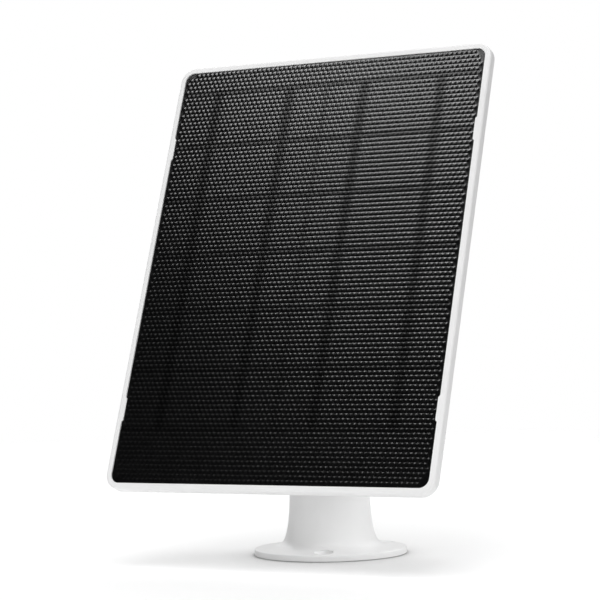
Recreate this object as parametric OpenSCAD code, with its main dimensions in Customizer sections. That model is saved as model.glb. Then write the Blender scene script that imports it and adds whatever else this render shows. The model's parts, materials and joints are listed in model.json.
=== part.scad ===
// Small solar charging panel on a round trumpet stand with a lockable ball joint.
// Millimetres, +Z up. The origin is the centre of the stand's underside, and the panel faces -Y.
// Panel parts are drawn lying flat in the panel's own frame: x across, y up the panel, z towards
// the sun, with the ball's centre as origin. on_panel() then leans them back onto the stand.

/* [Panel outline] */
// Width of the textured black window
window_w = 135.4; // [110:0.2:160]
// Height of the textured black window
window_h = 180; // [150:0.5:220]
// Width of the white border around the window
border = 2.4; // [2:0.1:4]
// Corner radius of the window
window_corner = 3.8; // [3:0.1:6]
// Depth of the panel's visible side
rim_depth = 4.5; // [4:0.1:6]
// Radius that rounds the front outer edge
rim_round = 1.0; // [0.5:0.1:1.5]
// How far the window lies below the border
window_recess = 0.5; // [0.3:0.05:0.8]
// Distance from the ball's centre to the panel's front
panel_reach = 29; // [28.5:0.1:34]
// Height of the panel's centre above its hub
hub_drop = 10; // [0:0.5:14]
// Lean of the panel back from upright
lean = 22; // [0:0.5:60]

/* [Cells] */
// Cells side by side
cell_columns = 2; // [1:1:4]
// Cells from bottom to top
cell_rows = 6; // [2:1:8]
// Height of the cell field
cell_field_h = 148.8; // [100:0.4:160]
// Gap between cells
cell_gap = 0.9; // [0.5:0.1:2]
// Space between the cell field and the window's top
field_top_gap = 9.5; // [6:0.5:14]
// Width of each upright bus ribbon
ribbon_w = 2.6; // [1:0.1:4]

/* [Back cover] */
// Depth of the cover behind the rim
cover_depth = 3.5; // [3.4:0.1:5]
// Wall of the cover
cover_wall = 1.6; // [1.2:0.1:1.8]
// Radius of the raised hub
hub_r = 21; // [18:0.5:24]
// Height of the hub above the cover
hub_h = 3; // [2:0.1:3.5]

/* [Ball joint] */
// Height of the ball's centre above the ground
ball_z = 95; // [95:0.5:110]
// Radius of the ball
ball_r = 10; // [9:0.1:10.4]
// Radius of the neck that leaves the ball
neck_r = 4.5; // [4:0.1:4.8]
// Radius of the threaded stud
stud_r = 3.175; // [3:0.005:3.2]
// Gap between the ball and what holds it
ball_gap = 0.2; // [0.15:0.05:0.3]
// Outer radius of the socket around the ball
socket_r = 12.8; // [12.4:0.1:13]
// Outer radius of the lock ring
ring_r = 15.5; // [15:0.1:16]
// Width of the notch that the neck swings down into
notch_w = 10; // [9.8:0.1:11]

/* [Stand] */
// Radius of the round foot
foot_r = 30.5; // [28:0.5:36]
// Height of the foot's edge
foot_edge_h = 2.4; // [2:0.1:3]
// Radius of the stem above its flare
stem_r = 16.2; // [15.8:0.1:17]
// Radius of the stem at its top
stem_top_r = 15.2; // [15:0.1:15.8]
// Wall of the stem
stem_wall = 2.6; // [2:0.1:3]
// Radius of the circle that the fixing holes lie on
hole_ring_r = 25.2; // [24.5:0.1:26]
// Radius of each fixing hole
hole_r = 2.1; // [1.8:0.1:2.3]
// Radius of each countersink at the top
sink_r = 4; // [3.6:0.1:4.2]
// Turn of the foot under the panel
foot_turn = 20; // [0:1:119]

/* [Hidden] */
$fn = 96;

// How far a cut starts outside what it cuts
cut = 1;
// Length of a cut that goes right through
through = 20;
// How far solids of one piece run into each other
root = 0.2;
// Gap of a running fit
running = 0.05;
// Gap around pieces that are only laid in
laid = 0.1;
// Gap around pieces that are threaded or cast in; threads are drawn plain
tight = 0.02;
// Gap around a screw or its head
screw_gap = 0.2;

// Panel outline
panel_w = window_w + 2 * border;
panel_h = window_h + 2 * border;
panel_corner = window_corner + border;
panel_mid_y = hub_drop;

// Levels of the panel's layers, measured from the ball's centre towards the sun
front_z = panel_reach;
rim_back_z = front_z - rim_depth;
film_front_z = front_z - window_recess;
film_t = 0.3;
film_back_z = film_front_z - film_t;
capsule_t = 0.6;
capsule_back_z = film_back_z - capsule_t;
sheet_t = 0.8;
sheet_back_z = capsule_back_z - sheet_t;
tape_t = 0.5;
tape_inset = 0.5;
ledge_front_z = sheet_back_z - tape_t;
cell_t = 0.2;
ribbon_t = 0.06;
ribbon_front_z = film_back_z - 0.04;
cell_front_z = ribbon_front_z - ribbon_t;

// Cover levels
cover_back_z = rim_back_z - cover_depth;
cover_inner_z = cover_back_z + cover_wall;
hub_back_z = cover_back_z - hub_h;

// Ledge inside the rim, which the laminate and the cover are fixed to
ledge_w = 11;
ledge_corner = 3;
cover_inset = 0.1;
cover_w = window_w - 2 * cover_inset;
cover_h = window_h - 2 * cover_inset;
cover_corner = 3.6;
cover_round = 2.9;
cover_side_wall = 3;
cover_inner_corner = 4.5;
boss_r = 2.6;
boss_inset = 8;
pad_r = 3.4;
boss_z = cover_inner_z + 0.9;
screw_r = 0.95;
screw_bore_r = 1.0;
screw_head_r = 1.9;
screw_head_h = 1.1;
screw_head_sink = 0.2;
screw_tip_z = ledge_front_z - 0.5;
screw_bore_z = ledge_front_z - 0.3;
seal_inset = 1.5;
seal_corner = 3;
seal_w = 1.0;
seal_t = 0.7;

// Snap tabs over the window's edge
tab_depth = 0.65;
tab_length = 10.3;
tab_levels = [0.196, 0.831];

// Cell field
lamina_w = window_w - 2 * laid;
lamina_h = window_h - 2 * laid;
lamina_corner = window_corner - laid;
field_top_y = panel_mid_y + window_h / 2 - field_top_gap;
field_bottom_y = field_top_y - cell_field_h;
field_side_gap = 0.5;
cell_pitch_x = (window_w - 2 * field_side_gap) / cell_columns;
cell_pitch_y = cell_field_h / cell_rows;
end_ribbon_w = 3.4;
end_ribbon_gap = 0.3;
end_ribbon_inset = 6;

// Hub and stud
insert_r = 4.5;
insert_front_z = hub_back_z + 6.4;
insert_back_z = hub_back_z + 0.4;
hub_boss_r = 7;
hub_round = 2.4;
hub_side_wall = 3.4;
stud_back_z = 3;
stud_front_z = insert_front_z - 0.8;
neck_front_z = socket_r + 0.4;
nut_back_z = neck_front_z + 0.1;
washer_t = 0.9;
nut_front_z = hub_back_z - washer_t - running;
nut_r = 7.5;

// Regulator board, above the hub
board_w = 44;
board_h = 26;
board_t = 1.0;
board_mid_y = 44;
board_back_z = cover_inner_z + 1.0;
board_front_z = board_back_z + board_t;
board_hole_inset = 3.2;
board_hole_x = board_w / 2 - board_hole_inset;
board_hole_y = board_h / 2 - board_hole_inset;
board_hole_r = 1.1;
board_post_r = 2.2;
board_pilot_r = 0.8;
board_pilot_z = cover_inner_z - 0.6;

// Leads from the laminate to the board
wire_r = 0.5;
lead_x = 6;
lead_top_y = board_mid_y + board_h / 2 + 8;
lead_run = 10.4;
lead_pocket_r = 1;
lead_pocket_depth = 0.4;

// Cable gland, beside the stem and below the hub
gland_x = -30;
gland_y = -48;
gland_bore_r = 2.1;
gland_r = 4.6;
gland_taper_r = 4;
gland_flange_r = 5.6;
gland_neck_r = 3.9;
gland_back_z = cover_back_z - 4.5;
gland_front_z = cover_inner_z + 3.2;

// Turret on top of the stem
stem_top_z = ball_z - 21.2;
stem_plate_t = 4;
bearing_t = 0.5;
turret_foot_z = stem_top_z + bearing_t;
turret_foot_t = 3;
collar_z = turret_foot_z + turret_foot_t;
collar_r = socket_r + 0.2;
ring_bottom_z = collar_z + 0.3;
ring_top_z = ball_z - 8.5;
seat_floor_z = turret_foot_z + 5;
seat_r = 9.2;
pan_r = 2.5;
pan_head_r = 4.2;
pan_head_z = turret_foot_z + 2.5;
pan_nut_t = 4.2;
pressure_ring_t = 1.8;
spring_washer_t = 0.8;
mouth_h = 7.6;
slit_w = 1.6;
slit_count = 6;
slit_depth = 5;

// Foot and flare
foot_fillet = 0.5;
sink_below = 1.1;
sink_above = 0.7;
flare_z = foot_edge_h + 1.0;
flare_long = 3.4;
flare_long_h = 6.5;
flare_tight = 2.4;
flare_tight_h = 0.8;
flare_steps = 26;
flare_crowding = 2.2;

// ---------------------------------------------------------------- helpers

// Places panel parts on the ball, leaning back
module on_panel() {
    translate([0, 0, ball_z]) rotate([90 - lean, 0, 0]) children();
}

// Rectangle with round corners, centred
module round_rect(w, h, r) {
    square([w - 2 * r, h], center = true);
    square([w, h - 2 * r], center = true);
    for (x = [-1, 1], y = [-1, 1])
        translate([x * (w / 2 - r), y * (h / 2 - r)]) circle(r);
}

// Slab with round corners around the panel's middle, between two levels
module panel_slab(w, h, r, back, front) {
    translate([0, panel_mid_y, back]) linear_extrude(front - back) round_rect(w, h, r);
}

// Sweeps a profile around a rectangle with round corners.
// The profile's x runs outwards from the corner's centre and its y is the level.
module sweep_rim(w, h, r) {
    translate([0, panel_mid_y, 0]) {
        for (turn = [0, 1, 2, 3]) {
            across = turn % 2 == 0 ? w : h;
            along = turn % 2 == 0 ? h : w;
            rotate([0, 0, 90 * turn]) {
                translate([across / 2 - r, along / 2 - r, 0]) rotate_extrude(angle = 90) children();
                translate([across / 2 - r, along / 2 - r, 0]) rotate([90, 0, 0])
                    linear_extrude(along - 2 * r) children();
            }
        }
    }
}

// Disc or tube between two levels
module tube(outer, inner, low, high) {
    difference() {
        translate([0, 0, low]) cylinder(h = high - low, r = outer);
        if (inner > 0) translate([0, 0, low - cut]) cylinder(h = high - low + 2 * cut, r = inner);
    }
}

// Pan-head screw that points towards +Z, head at its low end
module small_screw(head_r, head_h, shank_r, shank_l) {
    cylinder(h = head_h, r = head_r);
    translate([0, 0, head_h]) cylinder(h = shank_l, r = shank_r);
}

// Where the cover's screws stand
module at_cover_screws() {
    for (x = [-1, 1], y = [-1, 0, 1])
        translate([x * (window_w / 2 - boss_inset), panel_mid_y + y * (window_h / 2 - boss_inset), 0])
            children();
}

// Where the board's screws stand
module at_board_screws() {
    for (x = [-1, 1]) translate([x * board_hole_x, board_mid_y - x * board_hole_y, 0]) children();
}

// Middle of each cell
module at_cells() {
    for (column = [0 : cell_columns - 1], row = [0 : cell_rows - 1])
        translate([
            (column + 0.5) * cell_pitch_x - window_w / 2 + field_side_gap,
            field_bottom_y + (row + 0.5) * cell_pitch_y,
            0
        ]) children();
}

// Middle of each upright ribbon, two to a column
module at_bus_ribbons() {
    for (column = [0 : cell_columns - 1], part = [0.25, 0.75])
        translate([(column + part) * cell_pitch_x - window_w / 2 + field_side_gap, 0, 0]) children();
}

// ---------------------------------------------------------------- stand

// Stem radius at a height: a slight taper, plus a long flare and a tight one that fade upwards
function stem_at(z) =
    stem_r + (stem_top_r - stem_r) * z / stem_top_z
    + flare_long * exp(-(z - flare_z) / flare_long_h)
    + flare_tight * exp(-(z - flare_z) / flare_tight_h);

// Outline of the trumpet foot and stem, right half
module stand_outline() {
    rise = stem_top_z - flare_z;
    polygon(concat(
        [[0, 0], [foot_r, 0], [foot_r, foot_edge_h - foot_fillet]],
        [for (turn = [15 : 15 : 90]) [
            foot_r - foot_fillet + foot_fillet * cos(turn),
            foot_edge_h - foot_fillet + foot_fillet * sin(turn)
        ]],
        [for (step = [0 : flare_steps])
            let (z = flare_z + rise * pow(step / flare_steps, flare_crowding)) [stem_at(z), z]],
        [[0, stem_top_z]]
    ));
}

// Hole with a countersink, which goes on upwards through the flare
module fixing_hole() {
    sink_low = foot_edge_h - sink_below;
    sink_high = foot_edge_h + sink_above;
    rotate_extrude() polygon([
        [0, -cut], [hole_r, -cut], [hole_r, sink_low], [sink_r, sink_high], [sink_r, through], [0, through]
    ]);
}

module stand_body() {
    color("white") rotate([0, 0, foot_turn]) difference() {
        rotate_extrude() stand_outline();
        translate([0, 0, -cut])
            cylinder(h = stem_top_z - stem_plate_t + cut, r = stem_top_r - stem_wall);
        cylinder(h = stem_top_z + cut, r = pan_r + running);
        for (turn = [0, 120, 240]) rotate([0, 0, turn]) translate([0, -hole_ring_r, 0]) fixing_hole();
    }
}

module pan_friction_washer() {
    edge_inset = 1.2;
    bore_r = 5;
    color("dimgray") tube(stem_top_r - edge_inset, bore_r, stem_top_z, turret_foot_z);
}

// ---------------------------------------------------------------- turret

module socket_head() {
    foot_inset = 0.2;
    shoulder_z = ring_top_z + 0.6;
    pocket_top_z = ball_z - 4;
    color("whitesmoke") difference() {
        union() {
            tube(stem_top_r - foot_inset, 0, turret_foot_z, collar_z);
            tube(collar_r, 0, collar_z, shoulder_z);
            tube(socket_r, 0, shoulder_z, ball_z);
            translate([0, 0, ball_z]) sphere(socket_r);
        }
        translate([0, 0, ball_z]) sphere(ball_r + ball_gap);
        translate([0, 0, ball_z + mouth_h]) cylinder(h = socket_r, r = socket_r + cut);
        tube(seat_r, 0, seat_floor_z, pocket_top_z);
        tube(pan_head_r + screw_gap, 0, pan_head_z, seat_floor_z + cut);
        tube(pan_r + running, 0, turret_foot_z - cut, pan_head_z + cut);
        neck_notch();
        for (turn = [1 : slit_count - 1]) rotate([0, 0, 360 / slit_count * turn])
            translate([-slit_w / 2, -socket_r - cut, ball_z - slit_depth])
                cube([slit_w, socket_r, socket_r + slit_depth]);
    }
}

// Round-bottomed notch that lets the neck swing down to level
module neck_notch() {
    translate([0, 0, ball_z]) rotate([90, 0, 0]) cylinder(h = socket_r + cut, r = notch_w / 2);
    translate([-notch_w / 2, -socket_r - cut, ball_z]) cube([notch_w, socket_r + cut, socket_r + cut]);
}

module ball_seat() {
    bore_r = 3;
    lip_drop = 5.2;
    color("gray") difference() {
        tube(seat_r - laid, bore_r, seat_floor_z + pressure_ring_t + laid, ball_z - lip_drop);
        translate([0, 0, ball_z]) sphere(ball_r + ball_gap);
    }
}

module pressure_ring() {
    head_gap = 0.6;
    color("black") tube(seat_r - laid, pan_head_r + head_gap, seat_floor_z, seat_floor_z + pressure_ring_t);
}

module pan_screw() {
    head_top = seat_floor_z - laid;
    tip = 2;
    key_depth = 1.4;
    key_r = 2;
    color("silver") difference() {
        union() {
            tube(pan_head_r, 0, pan_head_z, head_top);
            tube(pan_r, 0, stem_top_z - stem_plate_t - spring_washer_t - pan_nut_t - tip, pan_head_z);
        }
        translate([0, 0, head_top - key_depth]) cylinder(h = key_depth + cut, r = key_r, $fn = 6);
    }
}

module pan_spring_washer() {
    outer_r = 4.4;
    top = stem_top_z - stem_plate_t;
    color("silver") tube(outer_r, pan_r + running, top - spring_washer_t, top);
}

module pan_nut() {
    corner_r = 4.62;
    top = stem_top_z - stem_plate_t - spring_washer_t;
    color("silver") difference() {
        translate([0, 0, top - pan_nut_t]) cylinder(h = pan_nut_t, r = corner_r, $fn = 6);
        tube(pan_r + tight, 0, top - pan_nut_t - cut, top + cut);
    }
}

// Ring that is screwed down to squeeze the socket's fingers onto the ball
module lock_ring() {
    edge = 0.8;
    grips = 24;
    grip_r = 0.95;
    grip_at = ring_r + 0.5;
    color("white") difference() {
        rotate_extrude() polygon([
            [collar_r + running, ring_bottom_z], [ring_r - edge, ring_bottom_z],
            [ring_r, ring_bottom_z + edge], [ring_r, ring_top_z - edge],
            [ring_r - edge, ring_top_z], [collar_r + running, ring_top_z]
        ]);
        for (turn = [0 : grips - 1]) rotate([0, 0, 360 / grips * turn])
            translate([grip_at, 0, ring_bottom_z - cut])
                cylinder(h = ring_top_z - ring_bottom_z + 2 * cut, r = grip_r, $fn = 24);
    }
}

// ---------------------------------------------------------------- ball arm

module stud_ball() {
    color("silver") on_panel() difference() {
        union() {
            sphere(ball_r);
            cylinder(h = neck_front_z, r = neck_r);
        }
        tube(stud_r + tight, 0, stud_back_z, neck_front_z + cut);
    }
}

module threaded_stud() {
    color("silver") on_panel() tube(stud_r, 0, stud_back_z, stud_front_z);
}

// Knurled nut that jams the stud against the panel's hub
module jam_nut() {
    edge = 0.5;
    knurls = 20;
    knurl_r = 0.7;
    knurl_at = nut_r + 0.35;
    color("silver") on_panel() difference() {
        rotate_extrude() polygon([
            [stud_r + running, nut_back_z], [nut_r - edge, nut_back_z], [nut_r, nut_back_z + edge],
            [nut_r, nut_front_z - edge], [nut_r - edge, nut_front_z], [stud_r + running, nut_front_z]
        ]);
        for (turn = [0 : knurls - 1]) rotate([0, 0, 360 / knurls * turn])
            translate([knurl_at, 0, nut_back_z - cut])
                cylinder(h = nut_front_z - nut_back_z + 2 * cut, r = knurl_r, $fn = 16);
    }
}

// ---------------------------------------------------------------- panel shell

// Border and side wall of the panel, as a profile around a corner's centre
module rim_profile() {
    inner = window_corner;
    outer = panel_corner;
    back_round = 0.4;
    difference() {
        translate([inner, rim_back_z]) square([outer - inner, rim_depth]);
        translate([outer - rim_round, front_z - rim_round]) round_off(rim_round);
        translate([outer - back_round, rim_back_z + back_round]) rotate(-90) round_off(back_round);
    }
}

// What a square corner loses when it is rounded, towards +x and +y from the arc's centre
module round_off(r) {
    difference() {
        square(r + cut);
        circle(r);
    }
}

// Snap tab with bevelled ends, pointing towards +x from the window's left edge
module snap_tab() {
    base_z = film_front_z + running;
    half = tab_length / 2;
    translate([0, 0, base_z]) linear_extrude(front_z - base_z) polygon([
        [-border / 4, -half], [0, -half], [tab_depth, tab_depth - half],
        [tab_depth, half - tab_depth], [0, half], [-border / 4, half]
    ]);
}

module panel_frame() {
    color("white") on_panel() difference() {
        union() {
            sweep_rim(panel_w, panel_h, panel_corner) rim_profile();
            difference() {
                panel_slab(window_w + 2 * root, window_h + 2 * root, window_corner,
                    rim_back_z, ledge_front_z);
                panel_slab(window_w - 2 * ledge_w, window_h - 2 * ledge_w, ledge_corner,
                    rim_back_z - cut, ledge_front_z + cut);
            }
            at_cover_screws() tube(boss_r, 0, boss_z, rim_back_z + root);
            for (level = tab_levels, side = [0, 1]) mirror([side, 0, 0])
                translate([-window_w / 2, panel_mid_y + window_h * (0.5 - level), 0]) snap_tab();
        }
        at_cover_screws() tube(screw_bore_r, 0, boss_z - cut, screw_bore_z);
    }
}

// Side of the cover with its round back edge, as a profile around a corner's centre
module cover_profile() {
    difference() {
        translate([0, cover_back_z]) square([cover_corner, cover_depth]);
        translate([cover_corner - cover_round, cover_back_z + cover_round]) rotate(-90)
            round_off(cover_round);
    }
}

// Tray of the cover, open towards the sun
module cover_tray() {
    difference() {
        union() {
            sweep_rim(cover_w, cover_h, cover_corner) cover_profile();
            translate([0, panel_mid_y, cover_back_z]) linear_extrude(cover_depth) square([
                cover_w - 2 * cover_corner + 2 * root, cover_h - 2 * cover_corner + 2 * root
            ], center = true);
        }
        panel_slab(cover_w - 2 * cover_side_wall, cover_h - 2 * cover_side_wall, cover_inner_corner,
            cover_inner_z, rim_back_z + cut);
    }
}

// Raised round hub with a rounded edge
module hub() {
    rotate_extrude() polygon(concat(
        [[0, hub_back_z]],
        [for (turn = [0 : 15 : 90]) [
            hub_r - hub_round + hub_round * sin(turn),
            hub_back_z + hub_round - hub_round * cos(turn)
        ]],
        [[hub_r, cover_back_z + root], [0, cover_back_z + root]]
    ));
}

// Cover with the round hub that takes the stud
module back_cover() {
    stud_gap = 0.3;
    color("white") on_panel() difference() {
        union() {
            cover_tray();
            hub();
            tube(hub_boss_r, 0, cover_back_z, insert_front_z + root);
            at_board_screws() tube(board_post_r, 0, cover_inner_z - root, board_back_z);
            at_cover_screws() tube(pad_r, 0, cover_inner_z - root, boss_z - laid / 2);
        }
        tube(hub_r - hub_side_wall, hub_boss_r, hub_back_z + cover_wall, cover_inner_z + cut);
        translate([0, 0, insert_back_z]) cylinder(h = through, r = insert_r + tight);
        translate([0, 0, hub_back_z - cut]) cylinder(h = through, r = stud_r + stud_gap);
        at_cover_screws() {
            translate([0, 0, cover_back_z - cut]) cylinder(h = through, r = screw_r + screw_gap);
            tube(screw_head_r + screw_gap, 0, cover_back_z - cut,
                cover_back_z + screw_head_sink + screw_head_h);
        }
        at_board_screws() translate([0, 0, board_pilot_z]) cylinder(h = through, r = board_pilot_r);
        translate([gland_x, gland_y, cover_back_z - cut])
            cylinder(h = through, r = gland_neck_r + laid);
        seal_band(laid / 2);
    }
}

// Band that the seal lies in, widened by a gap
module seal_band(gap) {
    band_z = rim_back_z - seal_t - gap;
    mid_w = cover_w - 2 * seal_inset;
    mid_h = cover_h - 2 * seal_inset;
    reach = seal_w + 2 * gap;
    difference() {
        panel_slab(mid_w + reach, mid_h + reach, seal_corner, band_z, rim_back_z);
        panel_slab(mid_w - reach, mid_h - reach, seal_corner - seal_w, band_z - cut, rim_back_z + cut);
    }
}

module perimeter_seal() {
    color("black") on_panel() seal_band(0);
}

module cover_screws() {
    low = cover_back_z + screw_head_sink;
    cross_l = 2.2;
    cross_w = 0.5;
    cross_depth = 0.5;
    color("silver") on_panel() at_cover_screws() difference() {
        translate([0, 0, low])
            small_screw(screw_head_r, screw_head_h, screw_r, screw_tip_z - low - screw_head_h);
        for (turn = [0, 90]) rotate([0, 0, turn])
            translate([-cross_l / 2, -cross_w / 2, low - cut])
                cube([cross_l, cross_w, cut + cross_depth]);
    }
}

module thread_insert() {
    color("gold") on_panel() tube(insert_r, stud_r + running, insert_back_z, insert_front_z);
}

module hub_washer() {
    overhang = 0.7;
    color("black") on_panel()
        tube(nut_r + overhang, stud_r + screw_gap, hub_back_z - washer_t, hub_back_z);
}

// ---------------------------------------------------------------- laminate

module front_film() {
    color("black") on_panel() panel_slab(lamina_w, lamina_h, lamina_corner, film_back_z, film_front_z);
}

// Clear bed around the cells and ribbons
module encapsulant() {
    color("darkslategray") on_panel() difference() {
        panel_slab(lamina_w, lamina_h, lamina_corner, capsule_back_z, film_back_z);
        cells(tight);
        uprights(tight);
        crossings(tight);
    }
}

module cells(gap) {
    at_cells() translate([0, 0, cell_front_z - cell_t / 2]) cube([
        cell_pitch_x - cell_gap + 2 * gap, cell_pitch_y - cell_gap + 2 * gap, cell_t + 2 * gap
    ], center = true);
}

module uprights(gap) {
    at_bus_ribbons()
        translate([-ribbon_w / 2 - gap, field_bottom_y - gap, cell_front_z])
            cube([ribbon_w + 2 * gap, cell_field_h + 2 * gap, ribbon_t + gap]);
}

// Ribbons across both ends of the cell field
module crossings(gap) {
    length = window_w - 2 * end_ribbon_inset;
    for (y = [field_bottom_y - end_ribbon_gap - end_ribbon_w, field_top_y + end_ribbon_gap])
        translate([-length / 2 - gap, y - gap, cell_front_z - cell_t - gap])
            cube([length + 2 * gap, end_ribbon_w + 2 * gap, ribbon_t + 2 * gap]);
}

module solar_cells() {
    color("midnightblue") on_panel() cells(0);
}

module bus_ribbons() {
    color("dimgray") on_panel() uprights(0);
}

module end_ribbons() {
    color("dimgray") on_panel() crossings(0);
}

module backsheet() {
    color("darkgreen") on_panel() difference() {
        panel_slab(lamina_w, lamina_h, lamina_corner, sheet_back_z, capsule_back_z);
        for (x = [-lead_x, lead_x]) translate([x, lead_top_y, 0])
            tube(lead_pocket_r, 0, sheet_back_z - cut, sheet_back_z + lead_pocket_depth);
    }
}

module adhesive_tape() {
    inner_inset = ledge_w - tape_inset;
    color("black") on_panel() difference() {
        panel_slab(lamina_w, lamina_h, lamina_corner, ledge_front_z, sheet_back_z);
        panel_slab(window_w - 2 * inner_inset, window_h - 2 * inner_inset, ledge_corner,
            ledge_front_z - cut, sheet_back_z + cut);
    }
}

// ---------------------------------------------------------------- electronics

// Places a component on the board's face, measured from the board's middle
module on_board(x, y) {
    translate([x, board_mid_y + y, board_front_z]) children();
}

// Block that stands centred on its underside
module block(size) {
    translate([0, 0, size.z / 2]) cube(size, center = true);
}

module regulator_board() {
    color("green") on_panel() difference() {
        translate([0, board_mid_y, board_back_z]) block([board_w, board_h, board_t]);
        at_board_screws() tube(board_hole_r, 0, board_back_z - cut, board_front_z + cut);
    }
}

module board_screws() {
    head_r = 1.7;
    head_h = 0.7;
    shank_r = 0.75;
    below_board = 1.2;
    color("silver") on_panel() at_board_screws() translate([0, 0, board_front_z + head_h])
        mirror([0, 0, 1]) small_screw(head_r, head_h, shank_r, board_t + below_board);
}

module inductor() {
    base = [6.4, 6.4, 0.5];
    coil_r = 2.9;
    coil_h = 1.0;
    color("dimgray") on_panel() on_board(-10, 0) {
        block(base);
        translate([0, 0, base.z]) cylinder(h = coil_h, r = coil_r);
    }
}

// Chip with four pins on each side
module controller_chip() {
    body = [4, 5, 0.9];
    pin = [1, 0.4, 0.2];
    pin_pitch = 1.27;
    pin_reach = 2.4;
    standoff = 0.15;
    color("black") on_panel() on_board(2, 0) {
        translate([0, 0, standoff]) block(body);
        for (side = [-1, 1], place = [-1.5 : 1.5])
            translate([side * pin_reach, place * pin_pitch, 0]) block(pin);
    }
}

module capacitors() {
    color("tan") on_panel() for (x = [9, 13], y = [-4, 4]) on_board(x, y) block([2, 3.2, 1.4]);
}

module diodes() {
    color("black") on_panel() for (x = [-4, 4]) on_board(x, 8.9) block([4.2, 2.6, 1.1]);
}

// Terminal with two openings for wires in its lower side
module terminal_block() {
    body = [9, 4, 1.6];
    edge_gap = 1;
    opening_r = 0.5;
    opening_depth = 2;
    opening_x = 2.3;
    color("ivory") on_panel() on_board(0, (body.y - board_h) / 2 + edge_gap) difference() {
        block(body);
        for (x = [-opening_x, opening_x])
            translate([x, -body.y / 2 - cut, body.z / 2]) rotate([-90, 0, 0])
                cylinder(h = opening_depth + cut, r = opening_r, $fn = 24);
    }
}

// Short lead from the laminate's terminal down to the board's upper edge
module lead(x) {
    low_z = board_front_z + wire_r + tight;
    end_z = sheet_back_z + lead_pocket_depth - laid;
    translate([x, lead_top_y, low_z]) {
        cylinder(h = end_z - low_z, r = wire_r);
        sphere(wire_r);
        rotate([90, 0, 0]) cylinder(h = lead_run, r = wire_r);
    }
}

module lead_positive() {
    color("red") on_panel() lead(lead_x);
}

module lead_negative() {
    color("black") on_panel() lead(-lead_x);
}

// Round rubber gland that the charging lead leaves through
module cable_gland() {
    lip = 1;
    taper_h = 2.4;
    flange_z = cover_back_z - 0.8;
    color("black") on_panel() translate([gland_x, gland_y, 0]) difference() {
        union() {
            tube(gland_neck_r, 0, cover_back_z - root, gland_front_z);
            rotate_extrude() polygon([
                [0, gland_back_z], [gland_bore_r + lip, gland_back_z],
                [gland_taper_r, gland_back_z + taper_h], [gland_r, flange_z],
                [gland_flange_r, flange_z], [gland_flange_r, cover_back_z], [0, cover_back_z]
            ]);
        }
        tube(gland_bore_r, 0, gland_back_z - cut, gland_front_z + cut);
    }
}

module gland_nut() {
    nut_t = 2;
    corner_r = 6.2;
    color("dimgray") on_panel() translate([gland_x, gland_y, 0]) difference() {
        translate([0, 0, cover_inner_z]) cylinder(h = nut_t, r = corner_r, $fn = 6);
        tube(gland_neck_r + tight, 0, cover_inner_z - cut, cover_inner_z + nut_t + cut);
    }
}

stand_body();
pan_friction_washer();
socket_head();
ball_seat();
pressure_ring();
pan_screw();
pan_spring_washer();
pan_nut();
lock_ring();
stud_ball();
threaded_stud();
jam_nut();
panel_frame();
front_film();
encapsulant();
solar_cells();
bus_ribbons();
end_ribbons();
backsheet();
adhesive_tape();
perimeter_seal();
back_cover();
cover_screws();
thread_insert();
hub_washer();
regulator_board();
board_screws();
inductor();
controller_chip();
capacitors();
diodes();
terminal_block();
lead_positive();
lead_negative();
cable_gland();
gland_nut();
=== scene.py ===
"""Looks of the solar charging panel and its ball-joint stand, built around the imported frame."""
import json
import math

import bmesh
import bpy
from mathutils import Matrix, Vector
from mathutils.geometry import delaunay_2d_cdt

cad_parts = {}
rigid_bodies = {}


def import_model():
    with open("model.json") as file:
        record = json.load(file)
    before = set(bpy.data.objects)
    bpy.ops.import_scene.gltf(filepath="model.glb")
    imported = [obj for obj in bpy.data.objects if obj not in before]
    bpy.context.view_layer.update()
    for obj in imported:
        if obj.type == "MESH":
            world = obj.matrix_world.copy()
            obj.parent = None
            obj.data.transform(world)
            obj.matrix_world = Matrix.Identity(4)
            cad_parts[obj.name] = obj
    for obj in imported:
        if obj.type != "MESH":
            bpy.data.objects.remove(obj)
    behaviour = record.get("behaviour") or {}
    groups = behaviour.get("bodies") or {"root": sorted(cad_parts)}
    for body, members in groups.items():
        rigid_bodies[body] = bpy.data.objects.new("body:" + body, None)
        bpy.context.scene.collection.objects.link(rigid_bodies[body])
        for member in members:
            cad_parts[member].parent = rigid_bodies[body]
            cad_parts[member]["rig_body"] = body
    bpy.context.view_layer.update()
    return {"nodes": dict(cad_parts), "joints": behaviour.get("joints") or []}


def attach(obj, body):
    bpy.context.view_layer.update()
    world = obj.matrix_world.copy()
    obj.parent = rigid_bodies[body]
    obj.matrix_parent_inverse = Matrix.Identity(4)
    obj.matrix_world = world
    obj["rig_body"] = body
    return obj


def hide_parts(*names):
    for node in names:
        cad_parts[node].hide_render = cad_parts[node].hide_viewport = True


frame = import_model()

MM = 0.001

# Camera, in metres and degrees: where it stands, its turn to the left of +Y, its rise and its roll
CAMERA_PLACE = (0.35697, -0.72191, 0.09162)
CAMERA_TURN = 27.025
CAMERA_RISE = 0.711
CAMERA_ROLL = -1.319
CAMERA_LENS = 120.34
CAMERA_SENSOR = 36.0
CAMERA_CLIP = 0.01

# Film's edge: corner radius, steps round a corner, and the plain strips beside and above the embossed field
FILM_CORNER = 3.7 * MM
FILM_CORNER_STEPS = 10
FIELD_MARGIN_X = 0.35 * MM
FIELD_MARGIN_Y = 0.25 * MM
FIELD_EDGE_GAP = 0.15 * MM

# Embossing: bumps across the film, rows up it, the height of each bump, and the bump's profile from its foot
# to its top, as pairs of radius and height, each as a share of the whole
BUMPS_ACROSS = 65
BUMP_ROWS = 95
BUMP_HEIGHT = 0.30 * MM
BUMP_PROFILE = ((0.88, 0.26), (0.46, 0.82))
BUMP_SPREAD = 1.06

# Cells under the film: rows of them, and the least gap between two ribbons
CELL_ROWS = 6
RIBBONS_APART = 5 * MM

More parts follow.
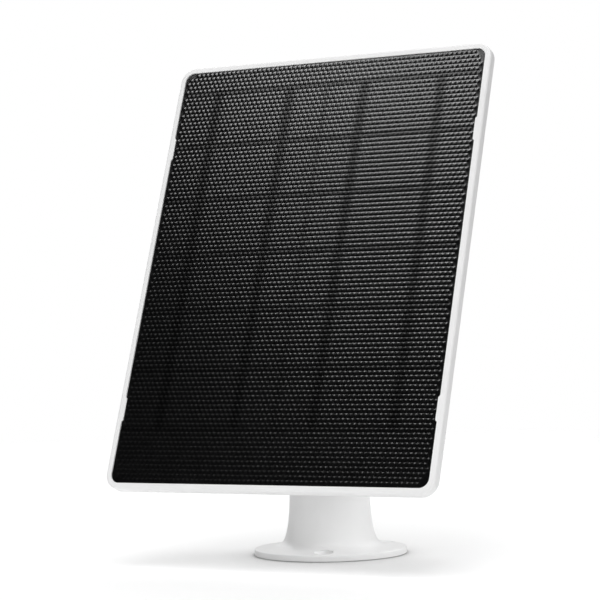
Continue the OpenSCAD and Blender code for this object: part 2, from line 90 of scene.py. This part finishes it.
# Shade of a ribbon, of the middle seam and of a gap between rows: the distance where it is full and the one
# where it ends (for a gap as a share of a row), and its strength; and how far it fades past the cells' ends
RIBBON_SHADE = (0.9 * MM, 3.2 * MM)
RIBBON_STRENGTH = 1.0
SEAM_SHADE = (0.3 * MM, 1.6 * MM)
SEAM_STRENGTH = 0.6
GAP_SHADE = (0.012, 0.06)
GAP_STRENGTH = 0.9
CELLS_END_FADE = 1.5 * MM

# Film: two tones of a cell and the tone of a ribbon, and the tint of the shine over each
CELL_BLACK = (0.0008, 0.0008, 0.0009)
CELL_BLACK_LIGHTER = (0.0014, 0.0014, 0.0016)
RIBBON_BLACK = (0.0006, 0.0006, 0.0007)
FILM_SHINE = (1.0, 1.0, 1.0)
RIBBON_SHINE = (0.40, 0.40, 0.40)

# Film: size of its mottling, size and depth of its grain, roughness from shiny to dull, and how much rougher
# it is over a ribbon
MOTTLE_SIZE = 9 * MM
FILM_GRAIN_SIZE = 0.3 * MM
FILM_GRAIN_DEPTH = 0.01 * MM
FILM_ROUGHNESS = (0.27, 0.35)
RIBBON_ROUGHER = 0.05
FILM_IOR = 1.45

# White room: strength on matt surfaces, in reflections and to the camera
ROOM_FILL = 0.20
ROOM_GLOSS = 0.02
ROOM_WHITE = 1.0

# Floor: radii between which it fades, its drop below the foot, two whites, size of its clouds, roughness
FLOOR_FADE = (0.35, 0.9)
FLOOR_DROP = 0.2 * MM
FLOOR_WHITES = ((0.96, 0.96, 0.96), (0.98, 0.98, 0.98))
FLOOR_CLOUDS = 0.4
FLOOR_ROUGHNESS = 0.9

# Contact shadow painted into the floor's colour: reach, and the openness between which it goes from dark to
# white
CONTACT_REACH = 0.03
CONTACT_OPENNESS = (0.55, 0.95)
PAINTED_CONTACT_SHADOW = (0.55, 0.55, 0.55)
CONTACT_SAMPLES = 8

# Softboxes that light everything: name, place, target, size, power, whether it shows in glossy surfaces
SOFTBOXES = (
    ("overhead", (0.0, -0.1, 1.3), (0, 0, 0), (1.2, 1.2), 11.0, False),
    ("front_high", (0.1, -1.1, 1.1), (0, 0, 0.1), (0.9, 0.7), 4.6, False),
    ("front_low", (0.6, -1.3, 0.35), (0, 0, 0.08), (0.8, 0.6), 5.4, False),
    ("right_back", (1.1, 0.6, 0.6), (0, 0, 0.08), (0.8, 0.9), 2.3, False),
    ("left_back", (-1.0, 0.9, 0.6), (0, 0, 0.08), (0.8, 0.9), 5.5, True),
    ("back_high", (0.0, 1.0, 1.0), (0, 0, 0.1), (1.0, 0.7), 4.0, True),
)
# Softboxes that light only the stand
STAND_SOFTBOXES = (
    ("stand_right", (0.7, -0.1, 0.35), (0, 0, 0.02), (0.4, 0.4), 0.9, False),
    ("stand_back", (0.5, 0.25, 0.55), (0, 0, 0.02), (0.3, 0.3), 1.3, False),
)
# Small softbox above the panel that only shines in the film, and how far it is rolled
FILM_SOFTBOX = ("film_sheen", (-0.06, -0.07, 0.40), (0, 0, 0.13), (0.20, 0.07), 0.8, True)
FILM_SOFTBOX_ROLL = 80

# Edge rounding of moulded and machined pieces, and the angle in degrees from which an edge counts as sharp
PLASTIC_EDGE = 0.25 * MM
METAL_EDGE = 0.12 * MM
SHARP_ANGLE = 28
EDGE_STEPS = 2

# Triangulation of the film's edge strip: keep what is inside the loops, points this close are one (in mm)
KEEP_INSIDE = 1
SAME_POINT = 1e-5

# Welding of a packed skin: distance between points that are one, and the angle of faces that are one
WELD = 0.002 * MM
ONE_FACE_ANGLE = 0.3

# Noise: the part of its range that surfaces use
NOISE_LOW = 0.3
NOISE_HIGH = 0.7

# Moulded plastic: size and tone of its clouding, size and depth of its grain, swing of its roughness
CLOUD_SIZE = 22 * MM
CLOUD_TONE = 0.955
GRAIN_SIZE = 0.35 * MM
GRAIN_DEPTH = 0.012 * MM
PLASTIC_SWING = (-0.05, 0.07)
PLASTIC_IOR = 1.5

# Rubber: size and depth of its pores, size, band, gain and lift of its dusty bloom, swing of its roughness
PORE_SIZE = 0.25 * MM
PORE_DEPTH = 0.02 * MM
BLOOM_SIZE = 5 * MM
BLOOM_BAND = (0.45, 0.75)
BLOOM_GAIN = 1.7
BLOOM_LIFT = 0.012
RUBBER_SWING = (-0.08, 0.1)

# Plated metal: size and depth of its tool marks, size and tone of duller patches, swing of its roughness
TOOL_MARK = 0.05 * MM
TOOL_DEPTH = 0.0015 * MM
PATCH_SIZE = 6 * MM
PATCH_TONE = 0.9
METAL_SWING = (-0.03, 0.04)


# ------------------------------------------------------------------ places

def joint(name):
    """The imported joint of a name."""
    return next(j for j in frame["joints"] if j["name"] == name)


def panel_frame_axes():
    """Matrix from the panel's own axes to the frame's: x across, y up, z out of its face, from the ball."""
    out = Vector(joint("panel_spin")["axis"]).normalized()
    across = Vector((1, 0, 0))
    up = out.cross(across)
    place = Vector(joint("tilt")["pos_m"])
    matrix = Matrix((across, up, out)).transposed().to_4x4()
    matrix.translation = place
    return matrix


PANEL = panel_frame_axes()
PANEL_INVERSE = PANEL.inverted()


def panel_box(node):
    """Lowest and highest corner of a node in the panel's own axes."""
    points = [PANEL_INVERSE @ v.co for v in frame["nodes"][node].data.vertices]
    return (Vector(map(min, zip(*points))), Vector(map(max, zip(*points))))


# ------------------------------------------------------------------ node helpers

class Nodes:
    """Small builder for one material's node tree."""

    def __init__(self, name):
        self.material = bpy.data.materials.new(name)
        self.material.use_nodes = True
        self.tree = self.material.node_tree
        self.tree.nodes.clear()
        self.shader = self.add("ShaderNodeBsdfPrincipled")
        output = self.add("ShaderNodeOutputMaterial")
        self.link(self.shader.outputs["BSDF"], output.inputs["Surface"])

    def add(self, kind, **settings):
        """A new node of a kind, with its settings."""
        node = self.tree.nodes.new(kind)
        for key, value in settings.items():
            setattr(node, key, value)
        return node

    def link(self, a, b):
        """Joins an output to an input."""
        self.tree.links.new(a, b)

    def place(self, matrix=None):
        """Object coordinates, turned into the panel's own axes when matrix is given."""
        coordinates = self.add("ShaderNodeTexCoord").outputs["Object"]
        if matrix is None:
            return coordinates
        mapping = self.add("ShaderNodeMapping", vector_type="POINT")
        inverse = matrix.inverted()
        mapping.inputs["Location"].default_value = inverse.translation
        mapping.inputs["Rotation"].default_value = inverse.to_euler()
        self.link(coordinates, mapping.inputs["Vector"])
        return mapping.outputs["Vector"]

    def noise(self, vector, size, detail=2.0, roughness=0.5):
        """Noise with features of a size in metres."""
        node = self.add("ShaderNodeTexNoise")
        node.inputs["Scale"].default_value = 1 / size
        node.inputs["Detail"].default_value = detail
        node.inputs["Roughness"].default_value = roughness
        self.link(vector, node.inputs["Vector"])
        return node.outputs["Fac"]

    def spread(self, noise, start, end):
        """Maps the used part of a noise's range to start..end."""
        return self.ramp(noise, NOISE_LOW, NOISE_HIGH, start, end)

    def ramp(self, value, low, high, start, end):
        """Maps value from low..high to start..end."""
        node = self.add("ShaderNodeMapRange", clamp=True)
        node.inputs["From Min"].default_value = low
        node.inputs["From Max"].default_value = high
        node.inputs["To Min"].default_value = start
        node.inputs["To Max"].default_value = end
        self.link(value, node.inputs["Value"])
        return node.outputs["Result"]

    def mix(self, factor, first, second):
        """Mixes two colours, each a tuple or a socket."""
        node = self.add("ShaderNodeMix", data_type="RGBA")
        self.link(factor, node.inputs["Factor"])
        for colour, slot in ((first, "A"), (second, "B")):
            socket = [i for i in node.inputs if i.name == slot and i.type == "RGBA"][0]
            if isinstance(colour, bpy.types.NodeSocket):
                self.link(colour, socket)
            else:
                socket.default_value = (*colour, 1)
        return [o for o in node.outputs if o.type == "RGBA"][0]

    def math(self, operation, a, b=None):
        """Arithmetic on numbers or sockets."""
        node = self.add("ShaderNodeMath", operation=operation)
        for value, socket in ((a, node.inputs[0]), (b, node.inputs[1])):
            if isinstance(value, bpy.types.NodeSocket):
                self.link(value, socket)
            elif value is not None:
                socket.default_value = value
        return node.outputs["Value"]

    def bump(self, height, distance):
        """Normal for relief of a height in metres."""
        node = self.add("ShaderNodeBump")
        node.inputs["Distance"].default_value = distance
        self.link(height, node.inputs["Height"])
        return node.outputs["Normal"]

    def roughen(self, noise, roughness, swing):
        """Lets a noise swing the roughness about its mean."""
        swung = self.spread(noise, roughness + swing[0], roughness + swing[1])
        self.link(swung, self.shader.inputs["Roughness"])

    def set(self, **values):
        """Sets the shader's own sockets."""
        for name, value in values.items():
            self.shader.inputs[name.replace("_", " ")].default_value = value


def moulded_plastic(name, colour, roughness=0.42):
    """Injection-moulded plastic: spark-eroded grain, slight clouding, slight variation in gloss."""
    n = Nodes(name)
    place = n.place()
    clouds = n.noise(place, CLOUD_SIZE, 3.0)
    speckle = n.noise(place, GRAIN_SIZE, 2.0, 0.6)
    darker = tuple(c * CLOUD_TONE for c in colour)
    n.link(n.mix(n.spread(clouds, 0, 1), darker, colour), n.shader.inputs["Base Color"])
    n.roughen(speckle, roughness, PLASTIC_SWING)
    n.link(n.bump(speckle, GRAIN_DEPTH), n.shader.inputs["Normal"])
    n.set(IOR=PLASTIC_IOR)
    return n.material


def rubber(name, colour, roughness=0.72):
    """Matt elastomer with a fine pore and a dusty bloom."""
    n = Nodes(name)
    place = n.place()
    pores = n.noise(place, PORE_SIZE, 3.0, 0.65)
    bloom = n.noise(place, BLOOM_SIZE, 4.0)
    lighter = tuple(c * BLOOM_GAIN + BLOOM_LIFT for c in colour)
    n.link(n.mix(n.ramp(bloom, *BLOOM_BAND, 0, 1), colour, lighter), n.shader.inputs["Base Color"])
    n.roughen(pores, roughness, RUBBER_SWING)
    n.link(n.bump(pores, PORE_DEPTH), n.shader.inputs["Normal"])
    return n.material


def turned_metal(name, colour, roughness):
    """Machined and plated metal: fine tool marks and patches of duller plating."""
    n = Nodes(name)
    place = n.place()
    marks = n.noise(place, TOOL_MARK, 1.0)
    patches = n.noise(place, PATCH_SIZE)
    duller = tuple(c * PATCH_TONE for c in colour)
    n.link(n.mix(n.spread(patches, 0, 1), colour, duller), n.shader.inputs["Base Color"])
    n.roughen(patches, roughness, METAL_SWING)
    n.link(n.bump(marks, TOOL_DEPTH), n.shader.inputs["Normal"])
    n.set(Metallic=1.0)
    return n.material


# ------------------------------------------------------------------ pieces from CAD nodes

def weld(mesh):
    """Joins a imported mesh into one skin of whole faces, shaded smooth."""
    skin = bmesh.new()
    skin.from_mesh(mesh)
    bmesh.ops.remove_doubles(skin, verts=skin.verts, dist=WELD)
    bmesh.ops.dissolve_limit(
        skin,
        angle_limit=math.radians(ONE_FACE_ANGLE),
        verts=skin.verts,
        edges=skin.edges,
        delimit=set(),
    )
    for face in skin.faces:
        face.smooth = True
    skin.to_mesh(mesh)
    skin.free()
    stale_normals = mesh.attributes.get("custom_normal")
    if stale_normals:
        mesh.attributes.remove(stale_normals)


def ease_edges(piece, width):
    """Rounds a piece's sharp edges."""
    bevel = piece.modifiers.new("eased_edges", "BEVEL")
    bevel.width = width
    bevel.segments = EDGE_STEPS
    bevel.limit_method = "ANGLE"
    bevel.angle_limit = math.radians(SHARP_ANGLE)
    bevel.harden_normals = True
    bevel.use_clamp_overlap = True


def refine(node, material, edge):
    """A finished copy of a CAD node: one welded skin, smooth where it curves, its sharp edges eased."""
    source = frame["nodes"][node]
    body = source["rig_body"]
    mesh = source.data.copy()
    mesh.name = node + "_skin"
    weld(mesh)
    piece = bpy.data.objects.new(node + "_finished", mesh)
    bpy.context.scene.collection.objects.link(piece)
    mesh.materials.clear()
    mesh.materials.append(material)
    mesh.set_sharp_from_angle(angle=math.radians(SHARP_ANGLE))
    ease_edges(piece, edge)
    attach(piece, body)
    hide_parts(node)


def paint(node, material):
    """Gives a CAD node that stays as it is its material."""
    mesh = frame["nodes"][node].data
    mesh.materials.clear()
    mesh.materials.append(material)


# ------------------------------------------------------------------ embossed film

def film_outline(low, high):
    """Points of the film's front edge, anticlockwise seen from the front."""
    left, right = low.x + FILM_CORNER, high.x - FILM_CORNER
    bottom, top = low.y + FILM_CORNER, high.y - FILM_CORNER
    points = []
    for x, y, start in ((right, top, 0), (left, top, 90), (left, bottom, 180), (right, bottom, 270)):
        for step in range(FILM_CORNER_STEPS + 1):
            a = math.radians(start + 90 * step / FILM_CORNER_STEPS)
            points.append(Vector((x + FILM_CORNER * math.cos(a), y + FILM_CORNER * math.sin(a), high.z)))
    return points


class BumpField:
    """Staggered rows of round bumps over the film's face, as one skin."""

    def __init__(self, low, high):
        self.low = low
        self.face_z = high.z
        self.middle = (low + high) / 2
        self.half_pitch = (high.x - low.x - 2 * FIELD_MARGIN_X) / (BUMPS_ACROSS + 0.5) / 2
        self.row_h = (high.y - low.y - 2 * FIELD_MARGIN_Y) / BUMP_ROWS
        self.straight = (self.middle.x - low.x - FILM_CORNER, self.middle.y - low.y - FILM_CORNER)
        self.skin = bmesh.new()
        self.feet = {}

    def place(self, column, row):
        """Point at a multiple of half a bump's width and of a row's height."""
        x = self.low.x + FIELD_MARGIN_X + column * self.half_pitch
        y = self.low.y + FIELD_MARGIN_Y + row * self.row_h
        return x, y

    def inside(self, x, y):
        """Whether a point is clear of the film's rounded edge."""
        past_x = max(abs(x - self.middle.x) - self.straight[0], 0)
        past_y = max(abs(y - self.middle.y) - self.straight[1], 0)
        return math.hypot(past_x, past_y) < FILM_CORNER - FIELD_EDGE_GAP

    def foot(self, column, row):
        """Vertex at a place, shared by the bumps that meet there."""
        if (column, row) not in self.feet:
            self.feet[column, row] = self.skin.verts.new((*self.place(column, row), self.face_z))
        return self.feet[column, row]

    def ring(self, centre, places, radius_share, height_share):
        """Loop of a bump's skin, at a share of its radius and of its height."""
        x, y = centre
        z = self.face_z + BUMP_HEIGHT * height_share
        loop = []
        for foot_x, foot_y in places:
            dx, dy = foot_x - x, foot_y - y
            share = radius_share * self.row_h / 2 / math.hypot(dx, dy) * BUMP_SPREAD
            loop.append(self.skin.verts.new((x + dx * share, y + dy * share, z)))
        return loop

    def add_bump(self, left, row):
        """One bump on its six feet, unless a foot would lie past the film's edge."""
        middle, right, above = left + 1, left + 2, row + 1
        feet = ((right, above), (middle, above), (left, above), (left, row), (middle, row), (right, row))
        places = [self.place(*foot) for foot in feet]
        if not all(self.inside(*place) for place in places):
            return
        centre = self.place(middle, row + 0.5)
        loops = [[self.foot(*foot) for foot in feet]]
        for radius_share, height_share in BUMP_PROFILE:
            loops.append(self.ring(centre, places, radius_share, height_share))
        top = self.skin.verts.new((*centre, self.face_z + BUMP_HEIGHT))
        sides = [(k, (k + 1) % len(feet)) for k in range(len(feet))]
        for wide, narrow in zip(loops, loops[1:]):
            for a, b in sides:
                self.skin.faces.new((wide[a], wide[b], narrow[b], narrow[a]))
        for a, b in sides:
            self.skin.faces.new((loops[-1][a], loops[-1][b], top))


def embossed_film(material):
    """The film as one closed sheet, with staggered rows of round bumps pressed out of its face."""
    low, high = panel_box("front_film")
    field = BumpField(low, high)
    for row in range(BUMP_ROWS):
        for column in range(BUMPS_ACROSS):
            field.add_bump(2 * column + row % 2, row)
    close_sheet(field.skin, film_outline(low, high), low.z)
    for face in field.skin.faces:
        face.smooth = True
    mesh = bpy.data.meshes.new("film_skin")
    field.skin.to_mesh(mesh)
    field.skin.free()
    mesh.transform(PANEL)
    mesh.materials.append(material)
    mesh.set_sharp_from_angle(angle=math.radians(SHARP_ANGLE))
    piece = bpy.data.objects.new("embossed_film", mesh)
    bpy.context.scene.collection.objects.link(piece)
    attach(piece, "panel")
    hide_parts("front_film")


def border_loop(skin):
    """Vertices round the open edge of the embossed field, anticlockwise seen from the front."""
    beside = {}
    for edge in skin.edges:
        if edge.is_boundary:
            for vertex in edge.verts:
                beside.setdefault(vertex, []).append(edge.other_vert(vertex))
    first = next(iter(beside))
    loop = [first, beside[first][0]]
    while loop[-1] is not first:
        ahead = [vertex for vertex in beside[loop[-1]] if vertex is not loop[-2]]
        loop.append(ahead[0])
    loop.pop()
    area = sum(a.co.x * b.co.y - b.co.x * a.co.y for a, b in zip(loop, loop[1:] + loop[:1]))
    return loop if area > 0 else loop[::-1]


def close_sheet(skin, outline, back_z):
    """Fills from the embossed field out to the outline, then adds the side wall and the back."""
    inner = border_loop(skin)
    outer = [skin.verts.new(p) for p in outline]
    vertices = outer + inner
    flat = [vertex.co.to_2d() / MM for vertex in vertices]
    loops = [list(range(len(outer))), list(range(len(outer), len(vertices)))]
    _, _, triangles, sources, _, inside = delaunay_2d_cdt(flat, [], loops, KEEP_INSIDE, SAME_POINT)
    for triangle, loops_round_it in zip(triangles, inside):
        if loops_round_it == [0]:
            skin.faces.new([vertices[sources[corner][0]] for corner in triangle])
    lower = [skin.verts.new((p.x, p.y, back_z)) for p in outline]
    for k, top in enumerate(outer):
        after = (k + 1) % len(outer)
        skin.faces.new((top, lower[k], lower[after], outer[after]))
    skin.faces.new(list(reversed(lower)))


def cell_shade(n, place):
    """How dark the film is over the cells: full on a ribbon, less on the middle seam and between rows."""
    axes = n.add("ShaderNodeSeparateXYZ")
    n.link(place, axes.inputs["Vector"])
    x, y = axes.outputs["X"], axes.outputs["Y"]
    cells_low, cells_high = panel_box("solar_cells")
    nearest = None
    for ribbon_x in ribbon_places():
        gap = n.math("ABSOLUTE", n.math("SUBTRACT", x, ribbon_x))
        nearest = gap if nearest is None else n.math("MINIMUM", nearest, gap)
    ribbon = n.ramp(nearest, *RIBBON_SHADE, RIBBON_STRENGTH, 0.0)
    seam = n.ramp(n.math("ABSOLUTE", x), *SEAM_SHADE, SEAM_STRENGTH, 0.0)
    row_h = (cells_high.y - cells_low.y) / CELL_ROWS
    up = n.math("DIVIDE", n.math("SUBTRACT", y, cells_low.y), row_h)
    from_gap = n.math("ABSOLUTE", n.math("SUBTRACT", up, n.math("ROUND", up)))
    row_gap = n.ramp(from_gap, *GAP_SHADE, GAP_STRENGTH, 0.0)
    middle = (cells_low.y + cells_high.y) / 2
    half = (cells_high.y - cells_low.y) / 2
    from_middle = n.math("ABSOLUTE", n.math("SUBTRACT", y, middle))
    on_cells = n.ramp(from_middle, half, half + CELLS_END_FADE, 1.0, 0.0)
    upright = n.math("MAXIMUM", ribbon, seam)
    return n.math("MULTIPLY", n.math("MAXIMUM", upright, row_gap), on_cells)


def film_material():
    """Black embossed film, with the cells as a slightly lighter field cut by dark ribbons and gaps."""
    n = Nodes("embossed_black_film")
    place = n.place(PANEL)
    dark = cell_shade(n, place)
    mottling = n.noise(place, MOTTLE_SIZE, 3.0)
    cell = n.mix(n.spread(mottling, 0, 1), CELL_BLACK, CELL_BLACK_LIGHTER)
    n.link(n.mix(dark, cell, RIBBON_BLACK), n.shader.inputs["Base Color"])
    grain = n.noise(place, FILM_GRAIN_SIZE)
    rough = n.math("ADD", n.spread(grain, *FILM_ROUGHNESS), n.math("MULTIPLY", dark, RIBBON_ROUGHER))
    n.link(rough, n.shader.inputs["Roughness"])
    n.link(n.mix(dark, FILM_SHINE, RIBBON_SHINE), n.shader.inputs["Specular Tint"])
    n.link(n.bump(grain, FILM_GRAIN_DEPTH), n.shader.inputs["Normal"])
    n.set(IOR=FILM_IOR)
    return n.material


def ribbon_places():
    """Middle of each upright ribbon, across the panel."""
    vertices = frame["nodes"]["bus_ribbons"].data.vertices
    groups = []
    for x in sorted((PANEL_INVERSE @ vertex.co).x for vertex in vertices):
        if not groups or x - groups[-1][-1] > RIBBONS_APART:
            groups.append([])
        groups[-1].append(x)
    return [(group[0] + group[-1]) / 2 for group in groups]


# ------------------------------------------------------------------ stage

def camera():
    """The camera, at its own place, turn, rise and roll."""
    data = bpy.data.cameras.new("camera")
    data.lens = CAMERA_LENS
    data.sensor_width = CAMERA_SENSOR
    data.clip_start = CAMERA_CLIP
    obj = bpy.data.objects.new("camera", data)
    bpy.context.scene.collection.objects.link(obj)
    turn, rise, roll = (math.radians(a) for a in (CAMERA_TURN, CAMERA_RISE, CAMERA_ROLL))
    ahead = Vector((-math.sin(turn) * math.cos(rise), math.cos(turn) * math.cos(rise), math.sin(rise)))
    level = ahead.cross(Vector((0, 0, 1))).normalized()
    over = level.cross(ahead)
    right = math.cos(roll) * level + math.sin(roll) * over
    up = math.cos(roll) * over - math.sin(roll) * level
    matrix = Matrix((right, up, -ahead)).transposed().to_4x4()
    matrix.translation = Vector(CAMERA_PLACE)
    obj.matrix_world = matrix
    bpy.context.scene.camera = obj


def softbox(name, place, target, size, power, lights_gloss, lights_matt=True):
    """A soft rectangular light that the camera doesn't see, aimed at a target."""
    data = bpy.data.lights.new(name, "AREA")
    data.shape = "RECTANGLE"
    data.size, data.size_y = size
    data.energy = power
    obj = bpy.data.objects.new(name, data)
    bpy.context.scene.collection.objects.link(obj)
    obj.location = place
    obj.rotation_euler = (Vector(target) - Vector(place)).to_track_quat("-Z", "Y").to_euler()
    obj.visible_camera = False
    obj.visible_glossy = lights_gloss
    obj.visible_diffuse = lights_matt
    return obj


def background(tree, strength):
    """White surroundings of a strength."""
    node = tree.nodes.new("ShaderNodeBackground")
    node.inputs["Color"].default_value = (1, 1, 1, 1)
    node.inputs["Strength"].default_value = strength
    return node.outputs["Background"]


def white_room():
    """Surroundings: white to the camera, faint to matt surfaces, fainter still in reflections."""
    world = bpy.data.worlds.new("white_room")
    bpy.context.scene.world = world
    world.use_nodes = True
    tree = world.node_tree
    tree.nodes.clear()
    path = tree.nodes.new("ShaderNodeLightPath")
    output = tree.nodes.new("ShaderNodeOutputWorld")
    shown = background(tree, ROOM_FILL)
    for ray, strength in (("Is Glossy Ray", ROOM_GLOSS), ("Is Camera Ray", ROOM_WHITE)):
        mix = tree.nodes.new("ShaderNodeMixShader")
        tree.links.new(path.outputs[ray], mix.inputs["Fac"])
        tree.links.new(shown, mix.inputs[1])
        tree.links.new(background(tree, strength), mix.inputs[2])
        shown = mix.outputs["Shader"]
    tree.links.new(shown, output.inputs["Surface"])


def pale_floor():
    """A white sweep that fades into the white room, so no horizon shows, with a contact shadow painted into
    its colour near the stand.
    """
    mesh = bpy.data.meshes.new("floor")
    r = FLOOR_FADE[1]
    mesh.from_pydata([(-r, -r, 0), (r, -r, 0), (r, r, 0), (-r, r, 0)], [], [(0, 1, 2, 3)])
    floor = bpy.data.objects.new("floor", mesh)
    bpy.context.scene.collection.objects.link(floor)
    floor.location.z = -FLOOR_DROP
    n = Nodes("pale_floor")
    n.set(Roughness=FLOOR_ROUGHNESS, Specular_IOR_Level=0.0)
    place = n.place()
    open_floor = n.mix(n.noise(place, FLOOR_CLOUDS), *FLOOR_WHITES)
    # Painted contact shadow: the floor's colour turns darker where nearby parts close it in
    openness = n.add("ShaderNodeAmbientOcclusion", samples=CONTACT_SAMPLES)
    openness.inputs["Distance"].default_value = CONTACT_REACH
    shade = n.ramp(openness.outputs["AO"], *CONTACT_OPENNESS, 0, 1)
    n.link(n.mix(shade, PAINTED_CONTACT_SHADOW, open_floor), n.shader.inputs["Base Color"])
    distance = n.add("ShaderNodeVectorMath", operation="LENGTH")
    n.link(place, distance.inputs[0])
    n.link(n.ramp(distance.outputs["Value"], *FLOOR_FADE, 1, 0), n.shader.inputs["Alpha"])
    mesh.materials.append(n.material)


def light_only(light, piece):
    """Keeps a light off everything but one piece."""
    group = bpy.data.collections.new(light.name + "_reaches")
    group.objects.link(bpy.data.objects[piece])
    light.light_linking.receiver_collection = group


def studio():
    """The room, the floor and the lights."""
    bpy.context.scene.view_settings.view_transform = "Standard"
    white_room()
    pale_floor()
    for settings in SOFTBOXES:
        softbox(*settings)
    for settings in STAND_SOFTBOXES:
        light_only(softbox(*settings), "stand_body_finished")
    sheen = softbox(*FILM_SOFTBOX, lights_matt=False)
    sheen.rotation_euler.rotate_axis("Z", math.radians(FILM_SOFTBOX_ROLL))
    light_only(sheen, "embossed_film")


# ------------------------------------------------------------------ build

white = moulded_plastic("white_shell", (0.83, 0.83, 0.83))
steel = turned_metal("zinc_steel", (0.66, 0.66, 0.64), 0.36)
nickel = turned_metal("satin_nickel", (0.72, 0.72, 0.73), 0.36)
brass = turned_metal("brass", (0.74, 0.55, 0.24), 0.25)
black_rubber = rubber("black_rubber", (0.022, 0.022, 0.022))

embossed_film(film_material())
for name in ("stand_body", "panel_frame", "back_cover", "socket_head", "lock_ring"):
    refine(name, white, PLASTIC_EDGE)
for name in ("stud_ball", "jam_nut"):
    refine(name, nickel, METAL_EDGE)

looks = {
    "pan_friction_washer": moulded_plastic("acetal", (0.3, 0.31, 0.33), 0.35),
    "ball_seat": moulded_plastic("seat_acetal", (0.28, 0.29, 0.31), 0.35),
    "pressure_ring": black_rubber, "perimeter_seal": black_rubber, "hub_washer": black_rubber,
    "cable_gland": black_rubber, "adhesive_tape": rubber("foam_tape", (0.04, 0.04, 0.04), 0.85),
    "pan_screw": steel, "pan_spring_washer": steel, "pan_nut": steel, "threaded_stud": steel,
    "cover_screws": steel, "board_screws": steel, "thread_insert": brass,
    "encapsulant": moulded_plastic("clear_bed", (0.05, 0.05, 0.055), 0.15),
    "solar_cells": moulded_plastic("silicon", (0.02, 0.025, 0.05), 0.2),
    "bus_ribbons": turned_metal("tinned_ribbon", (0.5, 0.5, 0.5), 0.35),
    "end_ribbons": turned_metal("tinned_end_ribbon", (0.5, 0.5, 0.5), 0.35),
    "backsheet": moulded_plastic("black_laminate", (0.03, 0.03, 0.03), 0.45),
    "regulator_board": moulded_plastic("solder_mask", (0.03, 0.2, 0.08), 0.3),
    "inductor": moulded_plastic("ferrite", (0.1, 0.1, 0.1), 0.6),
    "controller_chip": moulded_plastic("chip_epoxy", (0.02, 0.02, 0.02), 0.5),
    "diodes": moulded_plastic("diode_epoxy", (0.02, 0.02, 0.02), 0.5),
    "capacitors": moulded_plastic("capacitor_ceramic", (0.5, 0.38, 0.22), 0.5),
    "terminal_block": moulded_plastic("nylon", (0.7, 0.68, 0.6), 0.5),
    "gland_nut": moulded_plastic("nut_nylon", (0.7, 0.68, 0.6), 0.5),
    "lead_positive": rubber("red_lead", (0.55, 0.03, 0.03), 0.5),
    "lead_negative": rubber("black_lead", (0.02, 0.02, 0.02), 0.5),
}
for name, material in looks.items():
    paint(name, material)

camera()
studio()
